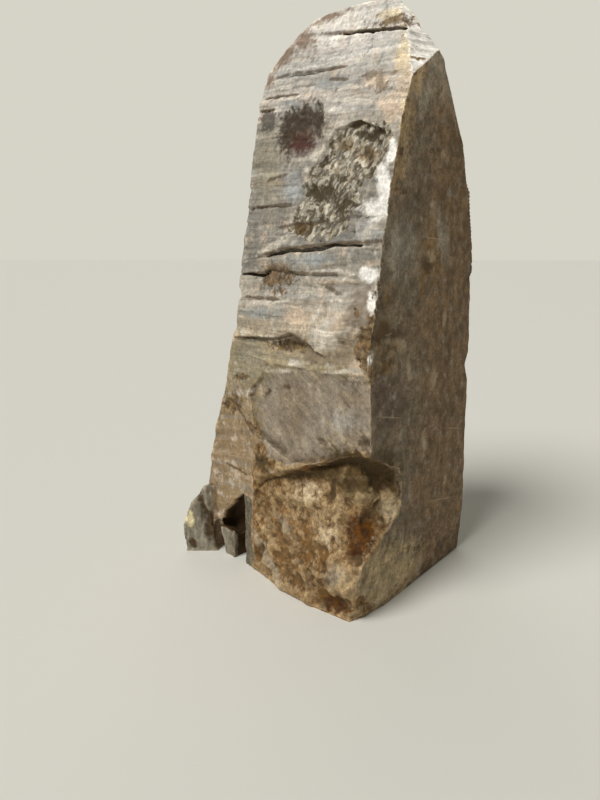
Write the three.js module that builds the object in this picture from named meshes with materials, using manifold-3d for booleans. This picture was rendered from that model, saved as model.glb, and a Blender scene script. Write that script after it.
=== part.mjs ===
// A soapstone block that stands on its flat sawn end.
// It is one natural stone: a tapering shaft with one sawn face at the front right, one split and
// layered face at the front left, a broken foot with a toe at the left, and hewn faces behind.
// Millimetres, +Z up. The block is shaped in a working frame whose origin is the front corner at
// the base: X runs along the sawn face, Y along the split face. The finished solid is then moved
// so that its origin is the centre of its footprint.

import * as THREE from 'three';
import { ConvexGeometry } from 'three/addons/geometries/ConvexGeometry.js';
import { mergeVertices } from 'three/addons/utils/BufferGeometryUtils.js';
import Module from 'manifold-3d';

const wasm = await Module();
wasm.setup();

// Driving dimensions
const height = 364;          // base to the top of the ridge
const sawnWidth = 131;       // sawn face at the base
const splitDepth = 117;      // split face at mid height, from the front corner to the left edge
const splitSkew = 0.094;     // setback of the split face for each millimetre of depth
const backDepth = 113;       // hidden back corner, from the plane of the sawn face
const toeReach = 156;        // left end of the toe, from the plane of the sawn face
const clear = 12;            // how far a cutter stands outside the stone

// Setback of the split face at the front corner: [height, setback]
const leanProfile = [[0, 0], [150, 1.5], [180, 2], [210, 9], [250, 15], [307, 32], [326, 40], [height, 61]];

function lean(z) {
  const next = Math.max(1, leanProfile.findIndex(([level]) => level >= z));
  const [lowZ, lowX] = leanProfile[next - 1];
  const [highZ, highX] = leanProfile[next];
  return THREE.MathUtils.mapLinear(z, lowZ, highZ, lowX, highX);
}

// A point of the stone in the working frame
const at = (x, y, z) => new THREE.Vector3(x, y, z);

// A point on the split face, or `deep` millimetres behind it
const split = (y, z, deep = 0) => at(lean(z) + splitSkew * y + deep, y, z);

// A point on the sawn face, or `deep` millimetres behind it
const sawn = (x, z, deep = 0) => at(x, deep, z);

// The flat-sided solid that spans a set of corner points
function block(...corners) {
  const geometry = new ConvexGeometry(corners.flat());
  geometry.deleteAttribute('normal');
  geometry.deleteAttribute('uv');
  const welded = mergeVertices(geometry, 1e-4);
  const mesh = new wasm.Mesh({
    numProp: 3,
    vertProperties: new Float32Array(welded.attributes.position.array),
    triVerts: new Uint32Array(welded.index.array),
  });
  return new wasm.Manifold(mesh);
}

// A cut from the split face inwards. Each corner is [y, z, depth at the bottom of the cut].
function splitCut(corners) {
  const mouth = corners.map(([y, z]) => split(y, z, -clear));
  const floor = corners.map(([y, z, deep]) => split(y, z, deep));
  return block(mouth, floor);
}

// ---- Shaft ----

// Edge between the sawn face and the split face, from the base up to the tip of the sawn face
const frontEdge = [
  at(-1, 9, 0), at(5, 6.5, 0), at(28, 2.8, 0),
  sawn(-0.5, 46), sawn(0.5, 150), sawn(2, 180), sawn(9, 208), sawn(15, 250), sawn(25, 289), sawn(33, 307),
];

// Rim of the sawn face over the tip and down its right-hand side
const sawnRim = [
  sawn(61, 326), sawn(71, 316), sawn(83, 295.5), sawn(97, 281), sawn(107, 253), sawn(117, 224),
  sawn(122, 172), sawn(128, 88), at(sawnWidth, 0, 34), at(sawnWidth, 2.2, 0),
];

// Left-hand edge of the split face, and its top rim
const splitRim = [
  at(12, 116, 0), split(splitDepth, 150), split(114, 182), split(111, 212), split(112, 250),
  split(splitDepth + 1, 280), split(splitDepth + 5, 312),
  split(splitDepth + 6, 333), split(113, 347.5), split(105, 357), split(92, height), split(70, height),
  split(28, 359),
];

// Foot of the split face, slightly proud of its plane
const splitFoot = [at(-2.5, 38, 0), at(0, 61, 0), at(6, 88, 0), split(60, 100, 1), split(80, 88)];

// Hidden sides: hewn to the right and cleft at the back, rounded over towards the ridge
const hewnSide = [
  at(73, 30, 355), at(84, 60, 354), at(101, 58, 321), at(116, 62, 268), at(123, 60, 214),
  at(128, 58, 110), at(134, 56, 0),
];
const cleftSide = [
  at(78, 100, 349), at(97, 99, 317), at(112, 101, 262), at(118, backDepth - 5, 190),
  at(124, backDepth, 96), at(129, backDepth - 4, 0),
  at(72, 119, 322), at(78, 124, 224), at(86, 127, 120), at(88, 129, 0),
];

// Corner between the hewn and the cleft side, knocked off in two long spalls
const cornerSpalls = [
  block(
    at(140, 84, 352), at(112, 84, 352), at(84, 128, 352), at(140, 128, 352),
    at(140, 92, 206), at(120, 92, 206), at(98, 128, 206), at(140, 128, 206),
  ),
  block(
    at(150, 100, 160), at(118, 108, 160), at(104, 132, 160), at(150, 132, 160),
    at(150, 78, 40), at(128, 84, 40), at(106, 122, 40), at(150, 132, 40),
    at(150, 100, -clear), at(133, 100, -clear), at(121, 130, -clear), at(150, 130, -clear),
  ),
];

const wholeShaft = block(frontEdge, sawnRim, splitRim, splitFoot, hewnSide, cleftSide);
const shaft = cornerSpalls.reduce((stone, spall) => stone.subtract(spall), wholeShaft);

// ---- Foot ----

// The left side swells out below mid height and ends in a tooth over the hollow
const swell = block(
  split(117, 168), split(128, 127), split(135, 104), split(142, 79), split(149, 62), split(151, 48),
  split(137, 24), split(110, 20), split(98, 60), split(96, 110),
  at(30, 120, 0), at(28, 150, 0), at(58, 152, 0), at(92, 132, 0), at(96, 110, 0),
  at(62, 146, 58), at(88, 132, 66), at(92, 122, 128), at(60, 124, 156),
);

// Upright slab that stands in front of the swell, and closes the base at the left
const toe = block(
  at(-5.5, toeReach, 0), at(10.5, 137.5, 0), at(-6, toeReach + 1, 20), at(-4.5, toeReach - 1.5, 31),
  at(0.5, 150.5, 42), at(7, 147, 51), at(6, 143, 37), at(15, 143, 54),
  at(13, 161, 0), at(16, 158, 34), at(44, 152, 38), at(46, 156, 0), at(34, 146, 0),
);

// Slab and pillar inside the hollow of the foot
const innerSlab = block(
  at(11.8, 130.5, 0), at(10.9, 119, 0), split(136, 19.5), split(118, 25.5),
  at(36, 134.5, 0), at(36, 122, 0), at(36, 135, 17), at(36, 120, 22),
);

// ---- Cuts ----

// Hollow under the tooth, and the slot beside the pillar that runs down to the base
const archHollow = splitCut([[132, 33, 14], [120, 44, 16], [109, 53, 13], [108, 22, 16], [122, 23, 18], [137, 19, 10]]);
const slot = splitCut([[120, 46, 9], [109, 53, 8], [108, -4, 10], [120, -4, 14]]);

// Scoop broken out of the front corner: an overhang at its top, a floor that rises to the surface below
const cornerScoop = block(
  at(-clear, -clear, 110), at(-clear, 30, 101), at(-clear, 60, 86), at(-clear, 97, 76),
  at(-clear, 100, 44), at(-clear, 62, 22), at(-clear, 8, 30),
  at(3, -clear, 110), at(1, 0.6, 107), at(12, 12, 99), at(13, 34, 92), at(12, 58, 82), at(10.5, 84, 71),
  at(15, 8, 82), at(9, 98, 56), at(8.6, 96, 46), at(2, -1, 44), at(-1, 30, 26), at(2, 60, 24),
);
const sawnChip = block(
  at(-2, -clear, 107), at(38, -clear, 91), at(43, -clear, 75), at(37, -clear, 60), at(2, -clear, 40),
  at(0, 0.5, 107), at(37, -0.5, 90), at(42, -0.5, 75), at(36, -0.5, 60), at(0, 2, 42),
  at(14, 13, 94), at(27, 11, 86), at(28, 10, 70), at(14, 12, 64),
);

// Grey flat between the mid-height step and the scoop, deepest at its lower edge
const flat = splitCut([
  [84, 150, 0.3], [101, 126, 0.3], [93, 103, 0.6], [60, 88, 3.5], [30, 98, 4], [-8, 107, 3], [-6, 152, 0.3],
  [80, 124, 2.2], [40, 122, 2.6], [4, 126, 2],
]);

// Stained pit under the mid-height step, steep at its top and faded out below
const stepPit = splitCut([
  [118, 163, 1.2], [90, 163, 1.6], [80, 163, 2.4], [62, 169, 4.5], [44, 165, 3.5], [30, 160, 0.4],
  [44, 151, 0.2], [80, 151, 0.2], [116, 154, 0.2],
]);

// Square stained pit and the crystalline hollow high on the split face
const stainPit = splitCut([
  [97, 300, 0.3], [84, 307, 0.4], [60, 304, 0.4], [56, 276, 0.3], [74, 272, 0.3], [93, 279, 0.3],
  [86, 299, 2.2], [66, 300, 2.8], [62, 284, 1.7], [82, 281, 1.4],
]);
const crystalHollow = splitCut([
  [46, 287, 0.4], [28, 289, 1.2], [10, 281, 1], [17, 240, 0.3], [22, 222, 0.3], [62, 226, 0.3], [72, 246, 0.3],
  [40, 280, 2.2], [22, 279, 3], [26, 245, 1.8], [52, 245, 1.8],
]);

// Open seams that run along the bedding. Each is a wedge: [y, z, depth, gape] along its lower lip.
function seam(...lip) {
  const upper = lip.map(([y, z, deep, gape]) => [y, z + gape, deep]);
  return splitCut([...lip, ...upper]);
}

const seams = [
  seam([88, 350, 4, 0.4], [52, 343, 10, 2], [15, 335, 8, 3.4]),
  seam([121, 327, 2, 0.3], [82, 326, 4, 1.4], [40, 321.5, 2, 0.3]),
  seam([120, 308, 3, 1.5], [103, 306, 2, 0.3]),
  seam([111, 245, 2, 1.4], [66, 244.5, 2, 0.3]),
  seam([98, 214, 2, 0.3], [80, 218, 5, 1.4], [34, 221, 6, 1.6], [-2, 221.5, 3, 0.5]),
  seam([122, 203, 6, 1.8], [95, 203, 5, 1.8], [66, 205, 2, 0.3]),
  seam([122, 162, 3, 1.4], [90, 163, 2, 0.8]),
];

// Shallow bites out of the hewn right-hand edge, which fade out towards the back
function rightBite(z, reach, deep) {
  const out = sawnWidth + clear;
  const inner = THREE.MathUtils.mapLinear(z, 0, 224, sawnWidth, 117) - deep;
  return block(
    at(out, -clear, z + reach), at(out, 70, z + reach), at(out, 70, z - reach), at(out, -clear, z - reach),
    at(inner, -clear, z), at(inner + 16, 70, z + 4), at(inner + 9, -clear, z + reach),
    at(inner + 9, -clear, z - reach),
  );
}

// Bites out of the left-hand edge of the split face
function leftBite(z, reach, deep, edge) {
  const out = edge + clear;
  return block(
    split(out, z + reach, -clear), split(out, z - reach, -clear), split(edge - deep, z, -clear),
    split(out, z + reach, 60), split(out, z - reach, 60), split(edge + 10, z, 60),
    split(edge + 1, z + reach, -clear), split(edge + 1, z - reach, -clear),
  );
}

const bites = [
  rightBite(202, 15, 3.5), rightBite(143, 18, 5), rightBite(60, 16, 1.5),
  leftBite(240, 56, 5.5, splitDepth + 1), leftBite(193, 8, 8, splitDepth),
];

// ---- Stone ----

const cuts = [
  archHollow, slot, cornerScoop, sawnChip, flat, stepPit, stainPit, crystalHollow, ...seams, ...bites,
];
const body = cuts.reduce((stone, cut) => stone.subtract(cut), shaft.add(swell));
const stone = body.add(innerSlab.subtract(slot)).add(toe);

// Turns a solid into a mesh geometry with its base at zero and its footprint about the origin
function toGeometry(solid) {
  const { vertProperties, triVerts } = solid.getMesh();
  const geometry = new THREE.BufferGeometry();
  geometry.setAttribute('position', new THREE.BufferAttribute(new Float32Array(vertProperties), 3));
  geometry.setIndex(new THREE.BufferAttribute(new Uint32Array(triVerts), 1));
  geometry.computeBoundingBox();
  const centre = geometry.boundingBox.getCenter(new THREE.Vector3());
  geometry.translate(-centre.x, -centre.y, -geometry.boundingBox.min.z);
  geometry.computeVertexNormals();
  return geometry;
}

const soapstone = new THREE.MeshStandardMaterial({ color: 0x9c8f80, roughness: 0.85, metalness: 0 });
const stoneMesh = new THREE.Mesh(toGeometry(stone), soapstone);
stoneMesh.name = 'soapstone_block';

const part = new THREE.Group();
part.add(stoneMesh);

export default part;
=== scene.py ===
import math

import bpy
import numpy as np
from mathutils import Matrix, Vector, noise


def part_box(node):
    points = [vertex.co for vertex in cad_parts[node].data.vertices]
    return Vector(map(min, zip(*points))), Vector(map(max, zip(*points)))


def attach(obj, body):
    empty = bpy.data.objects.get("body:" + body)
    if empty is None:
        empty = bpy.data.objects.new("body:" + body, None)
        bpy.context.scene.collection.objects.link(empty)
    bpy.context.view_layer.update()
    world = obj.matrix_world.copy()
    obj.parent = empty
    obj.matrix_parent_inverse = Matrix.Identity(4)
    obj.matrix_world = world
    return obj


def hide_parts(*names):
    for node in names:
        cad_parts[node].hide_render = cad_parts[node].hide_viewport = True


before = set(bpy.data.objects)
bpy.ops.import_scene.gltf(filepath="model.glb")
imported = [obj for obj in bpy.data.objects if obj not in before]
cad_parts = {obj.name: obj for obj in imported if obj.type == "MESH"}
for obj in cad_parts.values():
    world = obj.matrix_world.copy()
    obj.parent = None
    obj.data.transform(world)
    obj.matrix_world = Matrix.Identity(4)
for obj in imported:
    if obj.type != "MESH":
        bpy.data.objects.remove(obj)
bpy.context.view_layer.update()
print("stage 1: frame loaded")

# Places are in millimetres from the stone's front corner at the base:
# x runs along the sawn face, y along the split face, z up
perMetre = 1000
toeOverhang = 6.0  # how far the toe of the foot stands out past the split face
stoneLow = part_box("soapstone_block")[0]
corner = np.array([stoneLow.x * perMetre + toeOverhang, stoneLow.y * perMetre, 0.0])

stone = {
    "height": 364.0,
    "voxel": 0.8,  # mm, size of the working mesh
    "weld": 0.00001,  # m, points nearer than this are made one
    "faces": 192000,  # triangles kept at the end
    "skew": 0.094,  # setback of the split face for each millimetre of depth
    "leanZ": (0, 150, 180, 210, 250, 307, 326, 364),  # setback of the split face by height
    "leanX": (0, 1.5, 2, 9, 15, 32, 40, 61),
    "dipZ": (0, 90, 120, 165, 205, 245, 300, 325, 345, 364),  # slope of the layers by height
    "dip": (-0.10, -0.16, -0.10, 0.0, -0.04, 0.0, 0.12, 0.08, 0.17, 0.2),
    "dipMiddle": 60,
}

# Soft noises by name: size of the features in mm, octaves, seed
cloudKinds = {
    "swayAside": (23, 3, 21.0), "swayUp": (26, 2, 22.0), "swayFine": (5, 2, 23.0),
    "rim": (16, 3, 1.0), "otherRim": (14, 3, 31.0), "ragged": (5, 3, 33.0),
    "bed": (40, 2, 3.0), "busy": (45, 2, 71.0), "grain": (2.4, 3, 9.0), "rubble": (11, 5, 11.0),
    "fibres": (3.5, 3, 61.0), "lumps": (14, 5, 5.0), "pebbles": (7, 2, 13.0), "pits": (4.5, 4, 91.0),
    "chipped": (5, 3, 51.0), "patchAside": (14, 2, 81.0), "patchUp": (11, 2, 82.0),
}

# Broken faces by name: size of a face in mm, seed
facetKinds = {
    "planes": (52, 12.0), "large": (24, 6.0), "chips": (9.5, 7.0), "crumbs": (4.4, 8.0),
    "needles": (3.4, 2.0), "splinters": (5.5, 4.0),
}

seedStep = 13.7  # shift between the patterns of neighbouring seeds


# Fields that shape and stain the stone

def softNoise(points, size, octaves, seed):  # about -1 to 1
    spots = (points / size + seed * seedStep).tolist()
    return np.fromiter((noise.fractal(p, 1.0, 2.0, octaves) for p in spots), float, len(spots))


def clouds(points, kind):
    return softNoise(points, *cloudKinds[kind])


def ramp(value, start, end):  # smooth step, also downwards
    t = np.clip((value - start) / (end - start), 0, 1)
    return t * t * (3 - 2 * t)


def between(value, low, high):  # 1 between two soft borders, each from outside to inside
    return ramp(value, *low) * ramp(value, *high)


def facets(points, kind):  # flat broken faces that meet in ridges, about -1 to 1
    size, seed = facetKinds[kind]
    scramble = np.array([[12.9, 39.3, 73.1], [78.2, 11.1, 52.2], [37.7, 83.1, 9.1]])
    slope, sharpness, height = 1.5, 9, 1.6
    place = points / size + seed * seedStep
    near = [noise.voronoi(p) for p in place.tolist()]
    away = np.array([n[0] for n in near]) + 0.02
    cells = np.array([[tuple(c) for c in n[1]] for n in near])
    spin = np.sin(cells @ scramble) * 437.5
    tilt = spin - np.floor(spin) - 0.5
    planes = tilt[:, :, 0] + slope * ((place[:, None, :] - cells) * tilt).sum(2)
    share = (away[:, :1] / away) ** sharpness
    return height * (planes * share).sum(1) / share.sum(1)


def spot(y, z, shapes):  # 1 in the middle of a patch, 0.5 at its rim, 0 well outside
    field = np.zeros(len(y))
    for middleY, middleZ, wide, tall, turn in shapes:
        c, s = math.cos(math.radians(turn)), math.sin(math.radians(turn))
        along, across = (y - middleY) * c + (z - middleZ) * s, (z - middleZ) * c - (y - middleY) * s
        field = np.maximum(field, 1 - 0.5 * np.hypot(along / wide, across / tall))
    return field


def lineDistance(y, z, line):
    # Distance off a run of straight pieces, height above it, and the share of its length passed
    best = np.full(len(y), 1e9)
    above = np.zeros(len(y))
    share = np.zeros(len(y))
    lengths = [math.dist(a, b) for a, b in zip(line, line[1:])]
    done = 0.0
    for (ay, az), (by, bz), length in zip(line, line[1:], lengths):
        dy, dz = (by - ay) / length, (bz - az) / length
        t = np.clip((y - ay) * dy + (z - az) * dz, 0, length)
        offY, offZ = y - ay - t * dy, z - az - t * dz
        off = np.hypot(offY, offZ)
        nearer = off < best
        best = np.where(nearer, off, best)
        above = np.where(nearer, offZ, above)
        share = np.where(nearer, (done + t) / sum(lengths), share)
        done += length
    return best, above, share


def behindSplit(p):  # depth behind the plane of the split face
    return p[:, 0] - np.interp(p[:, 2], stone["leanZ"], stone["leanX"]) - stone["skew"] * p[:, 1]


def around(p):  # distance from the front edge: y on the split face, below 0 on the sawn face
    return p[:, 1] - np.maximum(behindSplit(p), 0)


def bedding(p):  # height measured across the layers
    dip = np.interp(p[:, 2], stone["dipZ"], stone["dip"])
    return p[:, 2] - dip * (p[:, 1] - stone["dipMiddle"]) + clouds(p, "bed")


def sway(p):  # slow wander that takes the straightness out of the cut outlines
    y, z = p[:, 1], p[:, 2]
    near = ramp(behindSplit(p), 40, 15)
    upwards = 1.3 * clouds(p, "swayUp") + 0.5 * clouds(p, "swayFine")
    shift = np.zeros_like(p)
    shift[:, 1] = 2.4 * clouds(p, "swayAside") * near * between(y, (1, 14), (108, 96))
    shift[:, 2] = upwards * near * between(z, (60, 110), (360, 340))
    return shift


# Mesh reading and writing

def readPoints(mesh):
    flat = np.empty(len(mesh.vertices) * 3)
    mesh.vertices.foreach_get("co", flat)
    return flat.reshape(-1, 3) * perMetre - corner


def writePoints(mesh, points):
    mesh.vertices.foreach_set("co", ((points + corner) / perMetre).ravel())
    mesh.update()


def readNormals(mesh):
    flat = np.empty(len(mesh.vertices) * 3)
    mesh.vertex_normals.foreach_get("vector", flat)
    return flat.reshape(-1, 3)


def selectOnly(piece):
    bpy.ops.object.select_all(action="DESELECT")
    bpy.context.view_layer.objects.active = piece
    piece.select_set(True)


def modify(piece, kind, **settings):
    selectOnly(piece)
    modifier = piece.modifiers.new(kind.title(), kind)
    for name, value in settings.items():
        setattr(modifier, name, value)
    bpy.ops.object.modifier_apply(modifier=modifier.name)


def evened(mesh, p, rounds):  # moves each point to the mean of its neighbours, again and again
    ends = np.empty(len(mesh.edges) * 2, dtype=np.int32)
    mesh.edges.foreach_get("vertices", ends)
    a, b = ends[::2], ends[1::2]
    size = len(p)
    count = np.bincount(a, minlength=size) + np.bincount(b, minlength=size) + 1.0
    columns = list(p.T)
    for _ in range(rounds):
        columns = [(v + np.bincount(a, v[b], size) + np.bincount(b, v[a], size)) / count for v in columns]
    return np.stack(columns, 1)


# Rough block: a welded copy of the CAD stone, remeshed fine enough to carve
carved = bpy.data.objects.new("soapstone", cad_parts["soapstone_block"].data.copy())
bpy.context.scene.collection.objects.link(carved)
carved.data.materials.clear()
selectOnly(carved)
bpy.ops.object.mode_set(mode="EDIT")
bpy.ops.mesh.select_all(action="SELECT")
bpy.ops.mesh.remove_doubles(threshold=stone["weld"])
bpy.ops.object.mode_set(mode="OBJECT")
modify(carved, "REMESH", mode="VOXEL", voxel_size=stone["voxel"] / perMetre)
print("stage 2: block remeshed,", len(carved.data.vertices), "points")

# Open seams under a lip: (y, z) points of the line, how far in mm the lip stands out, the foot sets back
# and both reach, and the share of its width that the seam keeps
ledges = [
    (((90, 352), (70, 348), (51, 344), (32, 340), (10, 337)), 0.4, 0.2, 7, 0.65),
    (((121, 328), (100, 329), (82, 326.5), (62, 324), (40, 322)), 0.3, 0.2, 5, 0.38),
    (((122, 316), (104, 315), (82, 313)), 0.2, 0.7, 6, 0.38),
    (((122, 309), (103, 307)), 0.5, 0.7, 5, 0.38),
    (((112, 246.5), (66, 246)), 0.5, 0.4, 4, 0.38),
    (((110, 213), (100, 215), (90, 217), (80, 220), (62, 221), (32, 223), (-2, 223.5)), 0.6, 0.2, 8, 0.38),
    (((120, 205), (95, 205), (85, 208), (62, 206), (16, 206)), 0.6, 0.6, 5, 0.38),
    (((112, 190), (70, 190)), 0.4, 0.3, 3, 0.38),
    (((121, 164), (90, 164), (80, 165), (62, 170), (44, 166), (38, 160)), 1.0, 0.4, 7, 0.38),
    (((131, 72), (100, 69)), 0.5, 0.7, 5, 0.38),
]

seam = {
    "middle": -1.3,  # height of the seam's middle over its line, mm
    "dirt": 0.5,  # share of its depth that dirt fills
    "stain": 3.0,  # how far its stain reaches, mm
}

# Stained lines of the closed seams, as (y, z) points
hairlines = [ledge[0] for ledge in ledges] + [
    ((128, 121), (107, 110), (92, 97)), ((88, 233), (60, 235), (46, 234)), ((64, 318), (44, 314)),
    ((100, 262), (78, 265)), ((40, 200), (22, 194)), ((46, 222.4), (4, 223.4), (-34, 224)),
]

# Knobs and hollows of the faces: middle (along, z), half width, half height, turn, height in mm
knobs = [
    (30, 66, 30, 12, -12, 3.0), (60, 90, 8, 5, -13, 1.4), (-6, 74, 9, 6, 0, 1.6), (60, 60, 12, 10, 0, 1.6),
    (12, 26, 12, 8, -50, 1.8), (75, 26, 14, 3, 50, 2.4), (90, 51, 9, 7, -47, -2.4),
    (85, 83, 8, 5, -23, -1.4), (4, 55, 11, 7, 13, -1.4), (47, 28, 21, 12, -19, -1.8),
    (21, 6, 12, 5, -16, -4.0), (88, 17, 7, 4, -59, -2.6), (61, 25, 6, 4, 14, -2.2),
    (51, 14, 5, 3, -36, -2.2), (0, 95, 30, 6, 7, -3.2), (-24, 72, 13, 6, 12, 2.6),
    (-30, 84, 9, 4, 4, -2.2), (1, 113, 5, 4, -30, -2.6), (-4, 172, 10, 5, 0, -1.8),
    (1, 158, 4, 8, 0, -1.8), (2, 182, 3, 6, 0, -1.2), (60, 232, 8, 4, 4, -1.8), (50, 251, 13, 5, 7, -1.6),
    (142.7, 22.6, 20, 3.0, 75, -3.0), (127, 26, 11, 3, -20, -3.0), (64, 162, 15, 4, -1, -1.2),
    (120, 116, 10, 4, -14, -1.2), (84, 222, 15, 3, -19, 1.2), (25, 190, 9, 5, -8, 1.0),
    (34, 168, 9, 5, -14, 0.9), (65, 136, 2.5, 2, 0, -1.2), (83, 130, 4, 2.5, -42, -1.4),
    (35, 107, 6, 2, 4, -1.2), (-30, 285, 20, 14, 40, -0.7), (-60, 212, 9, 7, 33, -0.6),
    (-21, 136, 20, 14, 23, -0.6), (-51, 210, 5, 4, 9, -0.7),
]

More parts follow.
